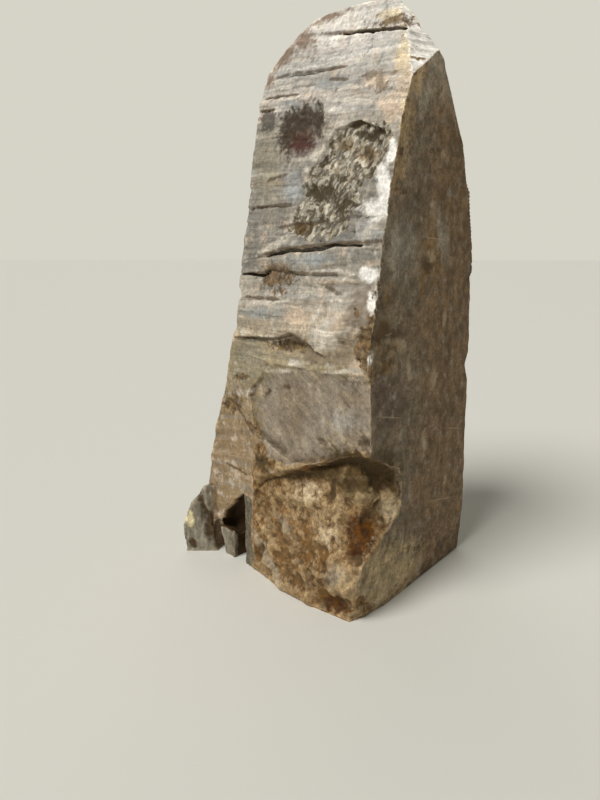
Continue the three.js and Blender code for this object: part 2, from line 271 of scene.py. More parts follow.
# Patches of colour: middle (along, z), half width and half height in mm, turn in degrees
patches = {
    "white": ((8, 240, 10, 5.5, 14), (5, 252, 12, 4.5, 80), (3, 268, 6, 2.5, 83), (8, 206, 6, 3.5, 3),
        (3, 192, 6, 2.5, 73), (0, 162, 4, 2.5, -75)),
    "pale": ((34, 168, 9, 6, -14), (36, 176, 14, 4, -40), (48, 286, 7.5, 2.5, -24),
        (59, 273, 4.5, 2.5, -35), (65, 264, 3.5, 2.5, -28), (84, 222, 14, 2.5, -19), (25, 190, 8.5, 4, -8),
        # The thin strips at (18, 153) and (69, 146) are a painted highlight along the up-facing top edge of
        # the mauve flat
        (78, 165, 12, 2.5, 2), (18, 153, 15, 1.4, -11), (69, 146, 12, 1.5, -8), (10, 230, 7, 2.5, -57),
        (30, 207, 15, 1.2, -1), (89, 188, 22, 1.2, -3), (43, 182, 10, 1.5, -61), (84, 98, 4, 2, 9),
        (9, 112, 7, 3.5, -34), (102, 128, 10, 2, -20), (60, 152, 8, 1.5, 0)),
    "peach": ((8, 292, 11, 6.5, 31), (4, 303, 11.5, 4.5, 76), (56, 180, 10, 6.5, -3),
        (11, 318, 7.5, 3, 67), (10, 157, 5.5, 4.5, -12), (-12, 177, 5, 2, 7), (27, 180, 9, 4.5, -15),
        (22, 309, 9.5, 4, 20)),
    "yellow": ((6, 322, 11.5, 8.5, 73), (-1, 286, 13, 2.5, 81), (28, 348, 10, 3.5, 11)),
    "blue": ((74, 257, 10.5, 6.5, 46), (52, 214, 18, 3, 0), (75, 200, 14.5, 5, -1), (89, 181, 17, 3.5, -3),
        (91, 308, 11, 3, 7), (59, 314, 20, 3, 6), (80, 119, 13.5, 7.5, -85)),
    "olive": ((102, 272, 23, 11.5, 65), (100, 152, 15.5, 9.5, -2), (107, 139, 15.5, 4.5, -9),
        (54, 133, 13.5, 8, -5)),
    "cool": ((12, 230, 8, 6.5, 28), (17, 124, 12.5, 6, -14)),
    "slate": ((110, 301, 9, 5.5, 45),),
    "stain": ((76, 291, 17, 14, 8),),
    "pit": ((72, 301, 11, 3, 9), (88, 290, 13, 7, 65), (63, 295, 9.5, 4, 70), (79, 296, 15, 5, 11)),
    "red": ((73, 282, 10, 5.5, 17),),
    "crystalDark": ((50, 251, 13.5, 5.5, 7), (53, 271, 7, 4, 9), (21, 280, 10, 2.5, 17),
        (61, 233, 7, 4.5, 9), (49, 235, 7.5, 1.4, 2), (29, 244, 7.5, 4, -67)),
    "crystalWarm": ((18, 270, 8.5, 3.5, 14), (37, 277, 6.5, 3, 13)),
    "brown": ((78, 202, 14, 8, 2), (64, 162, 15, 3.5, -1), (1, 174, 7.5, 5, -6), (4, 168, 5, 3, -8),
        (-9, 171, 8, 5, 79), (120, 116, 10, 5, -14), (95, 103, 8.5, 2, 31), (109, 137, 8, 2, -9),
        (-7, 155, 8, 3.5, 11), (60, 232, 7, 3.5, 4), (1, 182, 4, 3, 74), (-14, 164, 11, 5, 0),
        (20, 343, 17, 3.2, 7), (5, 160, 6, 3, 20), (13, 186, 3, 1.6, 60), (-12, 178, 7, 3, 20),
        (-20, 160, 6, 3, 60)),
    "dusky": ((12, 186, 7, 14, 10), (3, 176, 6, 10, 0), (22, 161, 14, 5, -10), (44, 158, 8, 4, 0)),
    "rim": ((97, 350, 11, 7, 28), (111, 342, 9, 7, -37), (80, 361, 14, 3, 0), (118, 328, 4, 6, 0)),
    "mark": ((27, 314, 6, 2, 15), (20, 307, 7, 3, 15), (12, 313, 2.5, 1.2, 0), (65, 136, 2.5, 1.5, -14),
        (83, 130, 4, 2.5, -42), (36, 107, 5.5, 1.5, 6), (88, 101, 2.5, 1.4, 52), (34, 97, 1.6, 1.4, -25),
        (1, 113, 4.5, 3.5, -30), (14, 147, 14.5, 1.2, -9)),
    # Painted shadow under the overhang of the mauve flat, over the real recess
    "overhangShadow": ((-5, 95, 31, 12.5, 7), (30, 88, 16, 5, -25), (42, 83, 18.5, 2.4, -20),
        (22, 93, 12.5, 6.5, -50), (24, 77, 6.5, 2.5, -89), (85, 84, 8.5, 5.5, -23),
        (2, 84, 19.5, 4.5, -11), (-28, 84, 11, 3.5, 2)),
    "creamEarth": ((26, 68, 33.5, 11.5, -15), (8, 61, 11.5, 4, -18), (65, 89, 7.5, 5, -13),
        (-24, 67, 15, 9, 8), (76, 60, 10, 6, -20), (12, 26, 12, 8.5, -56), (53, 59, 10, 7.5, -39),
        (80, 46, 9, 8, 0), (69, 9, 11, 4, 50), (81, 37, 9.5, 2.5, 36)),
    "paleEarth": ((-25, 67, 13, 7, 5), (46, 71, 12, 5, -20), (29, 48, 9, 5, -30)),
    # Olive-dark painted shade under the overhang
    "oliveOverhangShade": ((0, 83, 23, 8, -8), (-28, 84, 13, 4.5, 2), (60, 80, 7, 5, 0)),
    "greyEarth": ((79, 17, 24, 4.5, 42), (20, 28, 9, 6, -40), (68, 44, 7, 4, 30)),
    "brownEarth": ((90, 51, 9, 7, -47), (47, 28, 21, 12.5, -19), (63, 1, 11, 5, -11), (88, 17, 8, 5, -59),
        (61, 25, 5, 3, 14), (75, 42, 8, 5, -26), (30, 13, 11, 4, -16), (-2, 166, 16, 13, 0)),
    "darkEarth": ((21, 8, 10.5, 4.5, -18), (51, 14, 4, 2.5, -36), (92, 15, 6.5, 3.5, -76),
        (93, 56, 4.5, 4, -30), (39, 21, 8.5, 3.5, -27), (-21, 79, 5.5, 2, 4), (17, 83, 8.5, 3, -13),
        (42, 16, 15, 6, -20), (2, 173, 9, 3, -5), (-12, 171, 7, 4, 0)),
    "rust": ((1, 56, 13, 10, 13), (21, 6, 11, 4.5, -14), (6, 46, 7, 4, -24)),
    "toeLight": ((153, 26, 7, 2, -88),),
    # Dark brown in the groove beside the toe and in the hollow: dirt and painted shade
    "footDirtAndShade": ((152, 7, 4, 2.5, -87), (127, 26, 12, 2.5, -20), (142.7, 22.6, 21, 3.0, 75),
        (147, 41, 3, 2.5, 56)),
    "ochre": ((-5, 300, 16, 8, 87), (-4, 279, 12, 7, 76), (-4, 262, 13, 6, 78), (-7, 316, 7, 7, 60)),
    "drip": ((-16, 157, 6, 6, 0), (-10, 192, 9, 2.5, 85), (-25, 167, 7, 3.5, 10), (-12, 179, 5, 3, 0),
        (-53, 219, 15.5, 7, 75), (-60, 212, 8.5, 6.5, 33), (-48, 200, 14, 3, 85)),
    "sawnDark": ((-17, 172, 14, 3.2, 0), (-24, 164, 5, 2.5, 20), (-1, 309, 3.5, 2.5, 29),
        (-37, 274, 8, 1.5, -7), (-12, 250, 8, 1.5, -4), (-51, 210, 6.5, 3.5, 9), (-65, 26, 6.5, 2, 27),
        (-3, 269, 3.5, 2.5, 5), (-30, 82, 6.5, 3.5, 5), (-23, 98, 9, 4.5, 79)),
    "sawnLight": ((-49, 273, 3.5, 2, 3), (-47, 243, 3.5, 2.5, 66), (-54, 216, 4, 3, 33),
        (-73, 139, 6.5, 3.5, 78), (-64, 102, 6.5, 3, 77), (-70, 14, 5, 3, 55), (-41, 150, 7.5, 2.5, 83),
        (-29, 166, 7, 3.5, 10), (-81, 177, 5, 2.5, 78)),
    "sawnGrey": ((-17, 219, 15.5, 12, 24), (-12, 299, 12, 9.5, 44), (-62, 225, 14.5, 9.5, 64)),
    "sawnFacet": ((-21, 136, 22, 15, 23),),
    "sawnWarm": ((-57, 242, 17.5, 11, 5), (-82, 76, 32, 20.5, 62), (-52, 173, 19.5, 9.5, 9)),
    "sawnBeige": ((-30, 20, 40, 24, 8), (-6, 34, 20, 12, 0)),
}

# Toe, slab and pillar: soft borders in mm, each from outside to inside
footShape = {
    "toeFront": (-1.5, -4), "toeSide": (128, 134), "toeTop": (62, 56),
    "slabSides": ((117, 119), (137, 135)), "slabTop": (27, 25),
    "pillarSides": ((97, 100), (111, 109)), "pillarTop": (56, 50), "back": (30, 24),
    "cavityFront": (1.5, 4), "cavitySides": ((103, 106), (142, 138)),
    "cavityTop": (62, 56), "cavityBack": (60, 45),
    "dirtAndShadeSides": ((115, 118), (140, 136)), "dirtAndShadeTop": (34, 30), "dirtAndShadeFront": (-2, 0),
}

# Places of the breaks, the crystalline hollow and the mauve flat
breakShape = {
    "along": (-60, -42, -37, -12, 0, 20, 40, 57, 78, 88, 96, 100),  # upper rim of the broken corner
    "top": (30, 78, 90, 106, 108, 103, 92, 86, 88, 96, 90, 0),
    "sawnZ": (0, 40, 45, 54, 61, 74, 80, 89, 106),  # its rim on the sawn face
    "sawnX": (0, 0, 11, 27, 36, 41, 37, 36, 0),
    "end": (103, 92),
    "depth": (24, 16),
    "lowDepth": (50, 44),
    "edge": [(4, 168, 8, 6, -15), (-12, 166, 13, 7, 0), (-2, 156, 9, 8, 0), (1, 184, 2.5, 9, 0),
             (-22, 158, 6, 5, 0)],
    "hollow": [(29, 271, 23, 18, 0), (17, 272, 9, 9, 0), (44, 252, 22, 17, 30), (47, 234, 22, 9, 0),
               (62, 240, 8, 14, 30)],
    "flat": [(44, 123, 46, 28, 0), (66, 108, 26, 22, -24), (10, 128, 22, 24, 0), (16, 114, 24, 12, 0)],
}


def faceMasks(p, n):  # split face, sawn face and base, 0 to 1
    sawn = ramp(-n[:, 1], 0.7, 0.9) * ramp(p[:, 1], 9, 4)
    base = ramp(-n[:, 2], 0.7, 0.9) * ramp(p[:, 2], 3, 1)
    split = ramp(behindSplit(p), 26, 17) * (1 - sawn) * (1 - base)
    return split, sawn, base


def footRegion(p, wobble):
    y, z = p[:, 1], p[:, 2]
    behind = behindSplit(p)
    back = ramp(behind, *footShape["back"])
    pillarLow, pillarHigh = footShape["pillarSides"]
    toe = ramp(behind, *footShape["toeFront"]) * ramp(y, *footShape["toeSide"])
    toe *= ramp(z, *footShape["toeTop"])
    slab = between(y, *footShape["slabSides"]) * ramp(z, *footShape["slabTop"]) * back
    pillar = ramp(y + 2.5 * wobble, *pillarLow) * ramp(y, *pillarHigh)
    pillar *= ramp(z + 3 * wobble, *footShape["pillarTop"]) * back
    return np.maximum(np.maximum(toe, slab), pillar)


def brokenRegion(p, wobble, otherWobble, ragged):  # broken corner, and the break on the edge above
    x, y, z = p.T
    behind = behindSplit(p)
    rim = np.interp(np.where(y < 1.5, -x, y), breakShape["along"], breakShape["top"])
    below = ramp(z - rim + 3 * wobble, 2.0, -2.0) * (y < 104)
    sawnRim = np.interp(z, breakShape["sawnZ"], breakShape["sawnX"])
    chip = ramp(x - sawnRim + 2 * otherWobble, 2, -2) * ramp(z, 36, 44)
    onSplit = ramp(behind, *breakShape["depth"])
    nearFront = np.where((y < 16) & (z < 112), ramp(behind, *breakShape["lowDepth"]), onSplit)
    broken = below * np.where(y < 4, np.minimum(chip + ramp(y, 2, 6), 1), 1) * nearFront
    broken *= np.where(z > 48, ramp(y + 6 * wobble, *breakShape["end"]), 1)
    edge = spot(around(p) + 3 * wobble + ragged, z + 3 * otherWobble - ragged, breakShape["edge"])
    return broken, ramp(edge, 0.42, 0.58) * np.where(y < 3, 1, onSplit)


def regions(p):  # what kind of break each point belongs to, 0 to 1
    y, z = p[:, 1], p[:, 2]
    wobble, otherWobble = clouds(p, "rim"), clouds(p, "otherRim")
    ragged = 3 * clouds(p, "ragged")
    wanderY, wanderZ = y + 4 * wobble, z + 4 * otherWobble
    foot = footRegion(p, otherWobble)
    cornerBreak, edgeBreak = brokenRegion(p, wobble, otherWobble, ragged)
    broken = np.maximum(cornerBreak * (1 - foot), edgeBreak)
    crystal = ramp(spot(wanderY + ragged, wanderZ - ragged, breakShape["hollow"]), 0.42, 0.58)
    flat = ramp(spot(wanderY, wanderZ, breakShape["flat"]), 0.44, 0.56) * (1 - broken)
    return crystal, broken, flat, foot


def shingle(p, bed, thick, seed):  # layers that stand out at their lower edge and fade back upwards
    phase = (bed + 0.35 * thick * softNoise(p, thick * 3, 2, seed)) / thick
    layer = np.floor(phase)
    share = phase - layer
    where = np.stack([layer * 3.17, p[:, 1] / 34, p[:, 0] / 34], 1)
    deep = ramp(softNoise(where, 1.0, 2, seed + 1), -0.25, 0.55)
    return -deep * share ** 0.7


def openSeams(p, split):  # moves lips out and feet back, and narrows and fills the seams
    for line, out, back, reach, gape in ledges:
        away, above, share = lineDistance(p[:, 1], p[:, 2], line)
        fade = np.clip(np.sin(np.pi * np.clip(share * 0.86 + 0.12, 0, 1)) * 1.6, 0, 1)
        near = ramp(away, reach, 0)
        lip = out * near * ramp(above, -0.4, 0.8)
        foot = back * near * ramp(above, 0.8, -0.4)
        p[:, 0] += (foot - lip) * fade * split
        fromMiddle = above - seam["middle"]
        p[:, 2] -= (1 - gape) * fromMiddle * ramp(np.abs(fromMiddle), 6, 1) * ramp(away, 7, 4) * split
        dirt = seam["dirt"] * np.clip(behindSplit(p) - 1.2, 0, 7) * ramp(away, 4, 2.5)
        nearTip = ramp(p[:, 2], 300, 312) * ramp(p[:, 1], 22, 14)
        p[:, 0] -= dirt * (1 - nearTip) * split


# Layers by name: thickness in mm, seed
layerKinds = {"thick": (9.5, 41.0), "thin": (3.6, 44.0), "steps": (23, 47.0)}

# Places that are smoothed again after carving, in mm and rounds of smoothing
calm = {
    "rustMiddle": (11, 8, 60), "rustReach": (19, 9), "rustRounds": 60,
    "foldRounds": 8, "foldSize": (0.4, 0.9),
}

# Height in mm that each field has on each kind of surface
relief = {
    "layers": {"thickLayers": 0.85, "thinLayers": 0.3, "grain": 0.07, "rubble": 0.6},
    "flat": {"rubble": 0.4, "grain": 0.08},
    "sawn": {"grain": 0.04, "rubble": 0.12},
    "foot": {"fibres": 0.6, "rubble": 1.1, "grain": 0.08},
    "crystal": {"needles": 0.44, "splinters": 0.385, "chips": 0.8, "lumps": 1.1, "grain": 0.15,
                "even": -0.8},
    "lowBreak": {"large": 2.0, "chips": 1.6, "crumbs": 0.2, "lumps": 2.6, "pebbles": 1.1},
    "edgeBreak": {"chips": 1.0, "crumbs": 0.4, "lumps": 1.5, "grain": 0.2, "even": -0.7},
    "lowGrain": {"large": 0.9, "chips": 0.35, "lumps": 0.5},
    "hidden": {"planes": 3.0, "large": 2.2, "chips": 0.9, "lumps": 1.1, "steps": 1.5},
    "pitted": {"pits": 1.3, "even": -0.5},
}


def surfaceParts(p, n, faces, kinds):  # how much of each kind of surface a point has
    z = p[:, 2]
    split, sawn, base = faces
    crystal, broken, flat, foot = kinds
    hidden = np.clip(1 - split - sawn - base, 0, 1) * (1 - broken) * (1 - foot)
    lowGrain = ramp(z, 166, 150) * split * (1 - foot)
    plain = split * (1 - crystal) * (1 - broken) * (1 - flat) * (1 - foot)
    layered = (plain * (1 - 0.8 * lowGrain) + 0.8 * hidden) * (1 - 0.55 * ramp(z, 318, 335))
    lowBreak = broken * ramp(z, 130, 115)
    stained = spot(around(p), z, patches["pit"] + patches["red"] + patches["brown"])
    return {
        "layers": layered,
        "flat": split * flat,
        "sawn": sawn * (1 - broken),
        "foot": foot * (1 - base),
        "crystal": split * crystal,
        "lowBreak": lowBreak * (1 - 0.7 * ramp(-n[:, 2], 0.1, 0.5)),
        "edgeBreak": broken - lowBreak,
        "lowGrain": lowGrain * (1 - broken) * (1 - flat),
        "hidden": hidden * (1 - 0.6 * ramp(p[:, 1], 26, 4)),
        "pitted": split * ramp(stained, 0.4, 0.6) * (1 - crystal) * (1 - broken),
    }, split * crystal + broken + hidden + lowGrain


def surfaceFields(p, rough, broken):  # the fields that relief mixes
    near, crumbly = np.flatnonzero(rough > 0.02), np.flatnonzero(broken > 0.02)
    q = p[near]
    bed = bedding(p)
    slanting = np.array([[1, 0, 0], [0, 0.76, -0.39], [0, 0.65, 0.46]])  # drawn out upwards

    def spread(where, values):  # slow fields are worked out only where they show
        field = np.zeros(len(p))
        field[where] = values
        return field

    return {
        "even": 1.0,
        **{name: clouds(p, name) for name in ("grain", "rubble", "pebbles", "pits")},
        "fibres": clouds(p * np.array([1, 1, 0.16]), "fibres"),
        "thickLayers": shingle(p, bed, *layerKinds["thick"]),
        "thinLayers": ramp(clouds(p, "busy"), -0.35, 0.4) * shingle(p, bed, *layerKinds["thin"]),
        "steps": shingle(p, bed, *layerKinds["steps"]),
        "planes": facets(p * np.array([1, 1, 0.8]), "planes"),
        "large": spread(near, facets(q * np.array([1, 1, 0.7]), "large")),
        "chips": spread(near, facets(q, "chips")),
        "needles": spread(near, facets(q @ slanting, "needles")),
        "splinters": spread(near, facets(q, "splinters")),
        "lumps": spread(near, clouds(q, "lumps")),
        "crumbs": spread(crumbly, facets(p[crumbly], "crumbs")),
    }


def carvedHeight(p, n, faces, kinds):  # how far each point moves out along its normal, in mm
    split, sawn, base = faces
    crystal, broken, flat, foot = kinds
    parts, rough = surfaceParts(p, n, faces, kinds)
    fields = surfaceFields(p, rough, broken)
    amount = np.zeros(len(p))
    for part, share in parts.items():
        amount += share * sum(tall * fields[name] for name, tall in relief[part].items())
    inFront = np.maximum(np.maximum(split, sawn), np.maximum(broken, foot))
    for *shape, tall in knobs:
        amount += tall * inFront * ramp(spot(around(p), p[:, 2], [shape]), 0.25, 0.95)
    return amount * ramp(p[:, 2], -0.5, 3) * (1 - base)


def calmPlaces(mesh, p, base):  # smooths the rusty hollow and the folds of the broken corner
    rusty = ramp(np.linalg.norm(p - np.array(calm["rustMiddle"]), axis=1), *calm["rustReach"])
    p += (evened(mesh, p, calm["rustRounds"]) - p) * rusty[:, None]
    folds = ramp(p[:, 2], 114, 108) * ramp(p[:, 1], 106, 100) * (1 - base)
    even = evened(mesh, p, calm["foldRounds"])
    p += (even - p) * (folds * ramp(np.linalg.norm(even - p, axis=1), *calm["foldSize"]))[:, None]


def slopeSlab(p):  # the top of the slab falls away to the back and towards the pillar
    y, z = p[:, 1], p[:, 2]
    behind = behindSplit(p)
    onTop = between(y, (116, 119), (138, 135)) * ramp(behind, 34, 28) * between(z, (17, 24), (32, 27))
    z -= onTop * np.minimum(0.9 * np.maximum(behind, 0) + 0.3 * np.maximum(130 - y, 0), 13)


def chipEdge(p, broken):  # small chips out of the edge between the split and the sawn face
    edge = ramp(np.abs(p[:, 1]), 5, 0) * ramp(behindSplit(p), 6, 1) * (1 - broken)
    worn = 0.5 + 1.6 * between(p[:, 2], (140, 160), (216, 200))
    chipped = edge * worn * ramp(clouds(p, "chipped"), 0.0, 0.5)
    p[:, :2] += 0.8 * chipped[:, None]


def carve(piece):
    mesh = piece.data
    p = readPoints(mesh)
    openSeams(p, faceMasks(p, readNormals(mesh))[0])
    p += sway(p)
    writePoints(mesh, p)

    n = readNormals(mesh)
    faces, kinds = faceMasks(p, n), regions(p)
    p += n * carvedHeight(p, n, faces, kinds)[:, None]
    calmPlaces(mesh, p, faces[2])
    slopeSlab(p)
    chipEdge(p, kinds[1])
    p[:, 2] = np.maximum(p[:, 2], 0)
    writePoints(mesh, p)


carve(carved)
print("stage 3: surface carved")
modify(carved, "TRIANGULATE")
modify(carved, "DECIMATE", ratio=min(1.0, stone["faces"] / len(carved.data.polygons)))
selectOnly(carved)
bpy.ops.object.shade_smooth()
print("stage 4: mesh thinned to", len(carved.data.polygons), "triangles")


def hollowness(mesh, p, n, rounds):  # above 0 in cracks and pits, below 0 on edges and knobs, in mm
    return ((evened(mesh, p, rounds) - p) * n).sum(1)


def seamStain(p):  # 1 on the line of a closed seam, 0 well off it
    stain = np.zeros(len(p))
    for line in hairlines:
        away, above, share = lineDistance(p[:, 1], p[:, 2], line)
        alongLine = np.clip(4 * np.minimum(share, 1 - share) + 0.3, 0, 1)
        stain = np.maximum(stain, np.clip(1 - away / seam["stain"], 0, 1) * alongLine)
    return stain


def cavityDirtAndShade(p, n):  # dirt and painted shade inside the foot's hollow and on top of its slab
    y, z = p[:, 1], p[:, 2]
    behind = behindSplit(p)
    inside = ramp(behind, *footShape["cavityFront"]) * between(y, *footShape["cavitySides"])
    inside *= ramp(z, *footShape["cavityTop"])
    onSlab = ramp(n[:, 2], 0.3, 0.6) * between(y, *footShape["dirtAndShadeSides"])
    onSlab *= ramp(z, *footShape["dirtAndShadeTop"]) * ramp(behind, *footShape["dirtAndShadeFront"])
    return np.maximum(inside, onSlab) * ramp(behind, *footShape["cavityBack"])


def paintStone(piece):
    mesh = piece.data
    p, n = readPoints(mesh), readNormals(mesh)
    split, sawn, base = faceMasks(p, n)
    crystal, broken, flat, foot = regions(p)
    # Up-facing chamfer facet at the top: pale stone lifted to near white there, a painted highlight
    chamferHighlight = ramp(n[:, 2], 0.28, 0.42) * ramp(-n[:, 1], 0.35, 0.5) * ramp(p[:, 2], 300, 312)
    stained = broken * (1 - 0.38 * ramp(p[:, 2], 122, 136))  # the break on the edge is only mottled
    onSawn = ramp(-n[:, 1], 0.6, 0.8) * ramp(p[:, 1], 11, 8) * (1 - chamferHighlight) * (1 - stained)
    masks = {
        "bed": bedding(p), "splitFace": split, "sawnFace": onSawn, "chamferHighlight": chamferHighlight, "broken": stained,
        "crystal": crystal * split, "flatFace": flat * split, "foot": foot, "cavity": cavityDirtAndShade(p, n),
        "hairline": seamStain(p) * split,
        "crevice": np.clip(hollowness(mesh, p, n, 4) / 0.7, -1, 1),
        "dip": np.clip(hollowness(mesh, p, n, 30) / 2.0, -1, 1),
    }
    sideways, upwards = 2.0 * clouds(p, "patchAside"), 1.6 * clouds(p, "patchUp")
    for name, shapes in patches.items():
        masks[name] = spot(around(p) + sideways, p[:, 2] + upwards, shapes)
    for name, values in masks.items():
        layer = mesh.attributes.new(name, "FLOAT", "POINT")
        layer.data.foreach_set("value", values.astype(np.float32))


paintStone(carved)
print("stage 5: masks painted")


def nodeTools(tree):  # helpers that add a node and hand back its output
    def wire(kind, inputs, out=0, **settings):
        made = tree.nodes.new(kind)
        for name, value in settings.items():
            setattr(made, name, value)
        for key, value in inputs.items():
            if isinstance(value, bpy.types.NodeSocket):
                tree.links.new(value, made.inputs[key])
            else:
                made.inputs[key].default_value = value
        return made.outputs[out]

    def maths(operation, a, b=0.0, c=0.0):
        return wire("ShaderNodeMath", {0: a, 1: b, 2: c}, operation=operation)

    def step(value, start, end, low=0.0, high=1.0):  # smooth step, also downwards
        inputs = {0: value, 1: start, 2: end, 3: low, 4: high}
        return wire("ShaderNodeMapRange", inputs, interpolation_type="SMOOTHSTEP")

    def cloud(vector, size, detail=3.0, roughness=0.55):  # noise with features about size mm across
        inputs = {"Vector": vector, "Scale": 1 / size, "Detail": detail, "Roughness": roughness}
        return wire("ShaderNodeTexNoise", inputs)

    def blend(share, under, over, way="MIX"):
        under, over = ((*tint, 1) if isinstance(tint, tuple) else tint for tint in (under, over))
        return wire("ShaderNodeMix", {0: share, 6: under, 7: over}, out=2, data_type="RGBA", blend_type=way)

    return wire, maths, step, cloud, blend


def colourRamp(tree, value, stops):
    made = tree.nodes.new("ShaderNodeValToRGB")
    tree.links.new(value, made.inputs[0])
    elements = made.color_ramp.elements
    elements[0].position, elements[0].color = stops[0][0], (*stops[0][1], 1)
    elements[1].position, elements[1].color = stops[-1][0], (*stops[-1][1], 1)
    for place, tint in stops[1:-1]:
        elements.new(place).color = (*tint, 1)
    return made.outputs[0]


def raggedGroup():  # turns a soft field (rim at 0.5) into a patch with a crumbly rim
    group = bpy.data.node_groups.new("raggedEdge", "ShaderNodeTree")
    for name in ("Field", "Vector", "Grain", "Bite", "Softness"):
        kind = "NodeSocketVector" if name == "Vector" else "NodeSocketFloat"
        group.interface.new_socket(name=name, in_out="INPUT", socket_type=kind)
    group.interface.new_socket(name="Mask", in_out="OUTPUT", socket_type="NodeSocketFloat")
    given = group.nodes.new("NodeGroupInput").outputs
    result = group.nodes.new("NodeGroupOutput").inputs
    wire, maths, step = nodeTools(group)[:3]
    scale = maths("DIVIDE", 1.0, given["Grain"])
    inputs = {"Vector": given["Vector"], "Scale": scale, "Detail": 4.0, "Roughness": 0.65}
    rough = maths("SUBTRACT", wire("ShaderNodeTexNoise", inputs), 0.5)
    edge = maths("MULTIPLY_ADD", rough, given["Bite"], given["Field"])
    low = maths("SUBTRACT", 0.5, given["Softness"])
    high = maths("ADD", 0.5, given["Softness"])
    group.links.new(step(edge, low, high), result["Mask"])
    return group


looks = {
    # Split face, with its colours by height across the layers in mm
    "tones": ((0, (0.29, 0.2, 0.11)), (60, (0.32, 0.225, 0.125)), (110, (0.28, 0.195, 0.105)),
              (140, (0.31, 0.25, 0.15)), (160, (0.36, 0.295, 0.185)), (175, (0.435, 0.37, 0.275)),
              (190, (0.46, 0.405, 0.335)), (215, (0.258, 0.241, 0.205)), (235, (0.312, 0.284, 0.24)),
              (260, (0.28, 0.258, 0.218)), (290, (0.39, 0.355, 0.3)), (310, (0.57, 0.51, 0.44)),
              (325, (0.54, 0.51, 0.46)), (340, (0.72, 0.675, 0.615)), (364, (0.85, 0.79, 0.71))),
    "warm": (0.5, 0.37, 0.25), "blue": (0.34, 0.36, 0.36), "pale": (0.64, 0.58, 0.49),
    "dull": (0.22, 0.2, 0.17), "peach": (0.72, 0.56, 0.41), "yellow": (0.72, 0.6, 0.4),
    "olive": (0.31, 0.275, 0.195), "cool": (0.5, 0.48, 0.45), "rim": (0.24, 0.168, 0.118),
    # chamferHighlight: pale stone lifted to near white as a painted highlight on the up-facing chamfer
    "chamferHighlight": (0.97, 0.925, 0.845), "slate": (0.13, 0.113, 0.092),
    # Stains and cracks, dirt and painted shade in hollows, and ridges and edges lightened by rubbed wear
    # and a painted highlight
    "dusky": (0.19, 0.14, 0.095), "brown": (0.105, 0.06, 0.022), "brownPale": (0.195, 0.122, 0.048),
    "stain": (0.115, 0.08, 0.055), "pit": (0.05, 0.034, 0.02), "red": (0.07, 0.023, 0.016),
    "mark": (0.11, 0.075, 0.04), "white": (0.92, 0.885, 0.83), "crack": (0.085, 0.055, 0.028),
    "rubbedAndHighlit": (1.3, 1.28, 1.24),
    # Mauve flat
    "mauve": (0.255, 0.2, 0.14), "mauveGrey": (0.3, 0.25, 0.19), "mauveVein": (0.42, 0.34, 0.23),
    # Crystalline hollow
    "crystal": (0.24, 0.2, 0.14), "crystalPale": (0.47, 0.43, 0.35), "crystalDark": (0.055, 0.04, 0.018),
    "crystalWarm": (0.26, 0.17, 0.08),
    # Broken corner
    "earth": (0.265, 0.165, 0.073), "earthPale": (0.62, 0.47, 0.27), "earthRed": (0.2, 0.1, 0.028),
    "earthPit": (0.1, 0.052, 0.015), "creamEarth": (0.335, 0.235, 0.122), "paleEarth": (0.72, 0.58, 0.38),
    "oliveOverhangShade": (0.15, 0.105, 0.045), "greyEarth": (0.33, 0.27, 0.19), "brownEarth": (0.15, 0.08, 0.024),
    "darkEarth": (0.08, 0.038, 0.01), "rust": (0.06, 0.021, 0.001), "rustBright": (0.117, 0.041, 0.001),
    "overhangShadow": (0.07, 0.041, 0.01),
    # Foot
    "pillar": (0.075, 0.056, 0.032), "foot": (0.37, 0.33, 0.27), "footPale": (0.27, 0.235, 0.165),
    "footDirtAndShade": (0.075, 0.042, 0.015), "toeLight": (0.8, 0.7, 0.42),
    # Hidden sides
    "hidden": (0.36, 0.295, 0.21), "hiddenBrown": (0.25, 0.175, 0.1), "hiddenPale": (0.5, 0.44, 0.35),
    # Sawn face
    "sawn": (0.235, 0.18, 0.12), "sawnWarm": (0.232, 0.153, 0.085), "sawnGrey": (0.36, 0.32, 0.26),
    "sawnTop": (0.45, 0.37, 0.27), "sawnFacet": (0.165, 0.12, 0.087), "sawnBeige": (0.43, 0.325, 0.185),
    "sawnBrown": (0.17, 0.11, 0.058), "sawnDark": (0.09, 0.055, 0.028), "sawnLight": (0.54, 0.43, 0.29),
    "ochre": (0.46, 0.32, 0.17), "drip": (0.26, 0.155, 0.058),
}

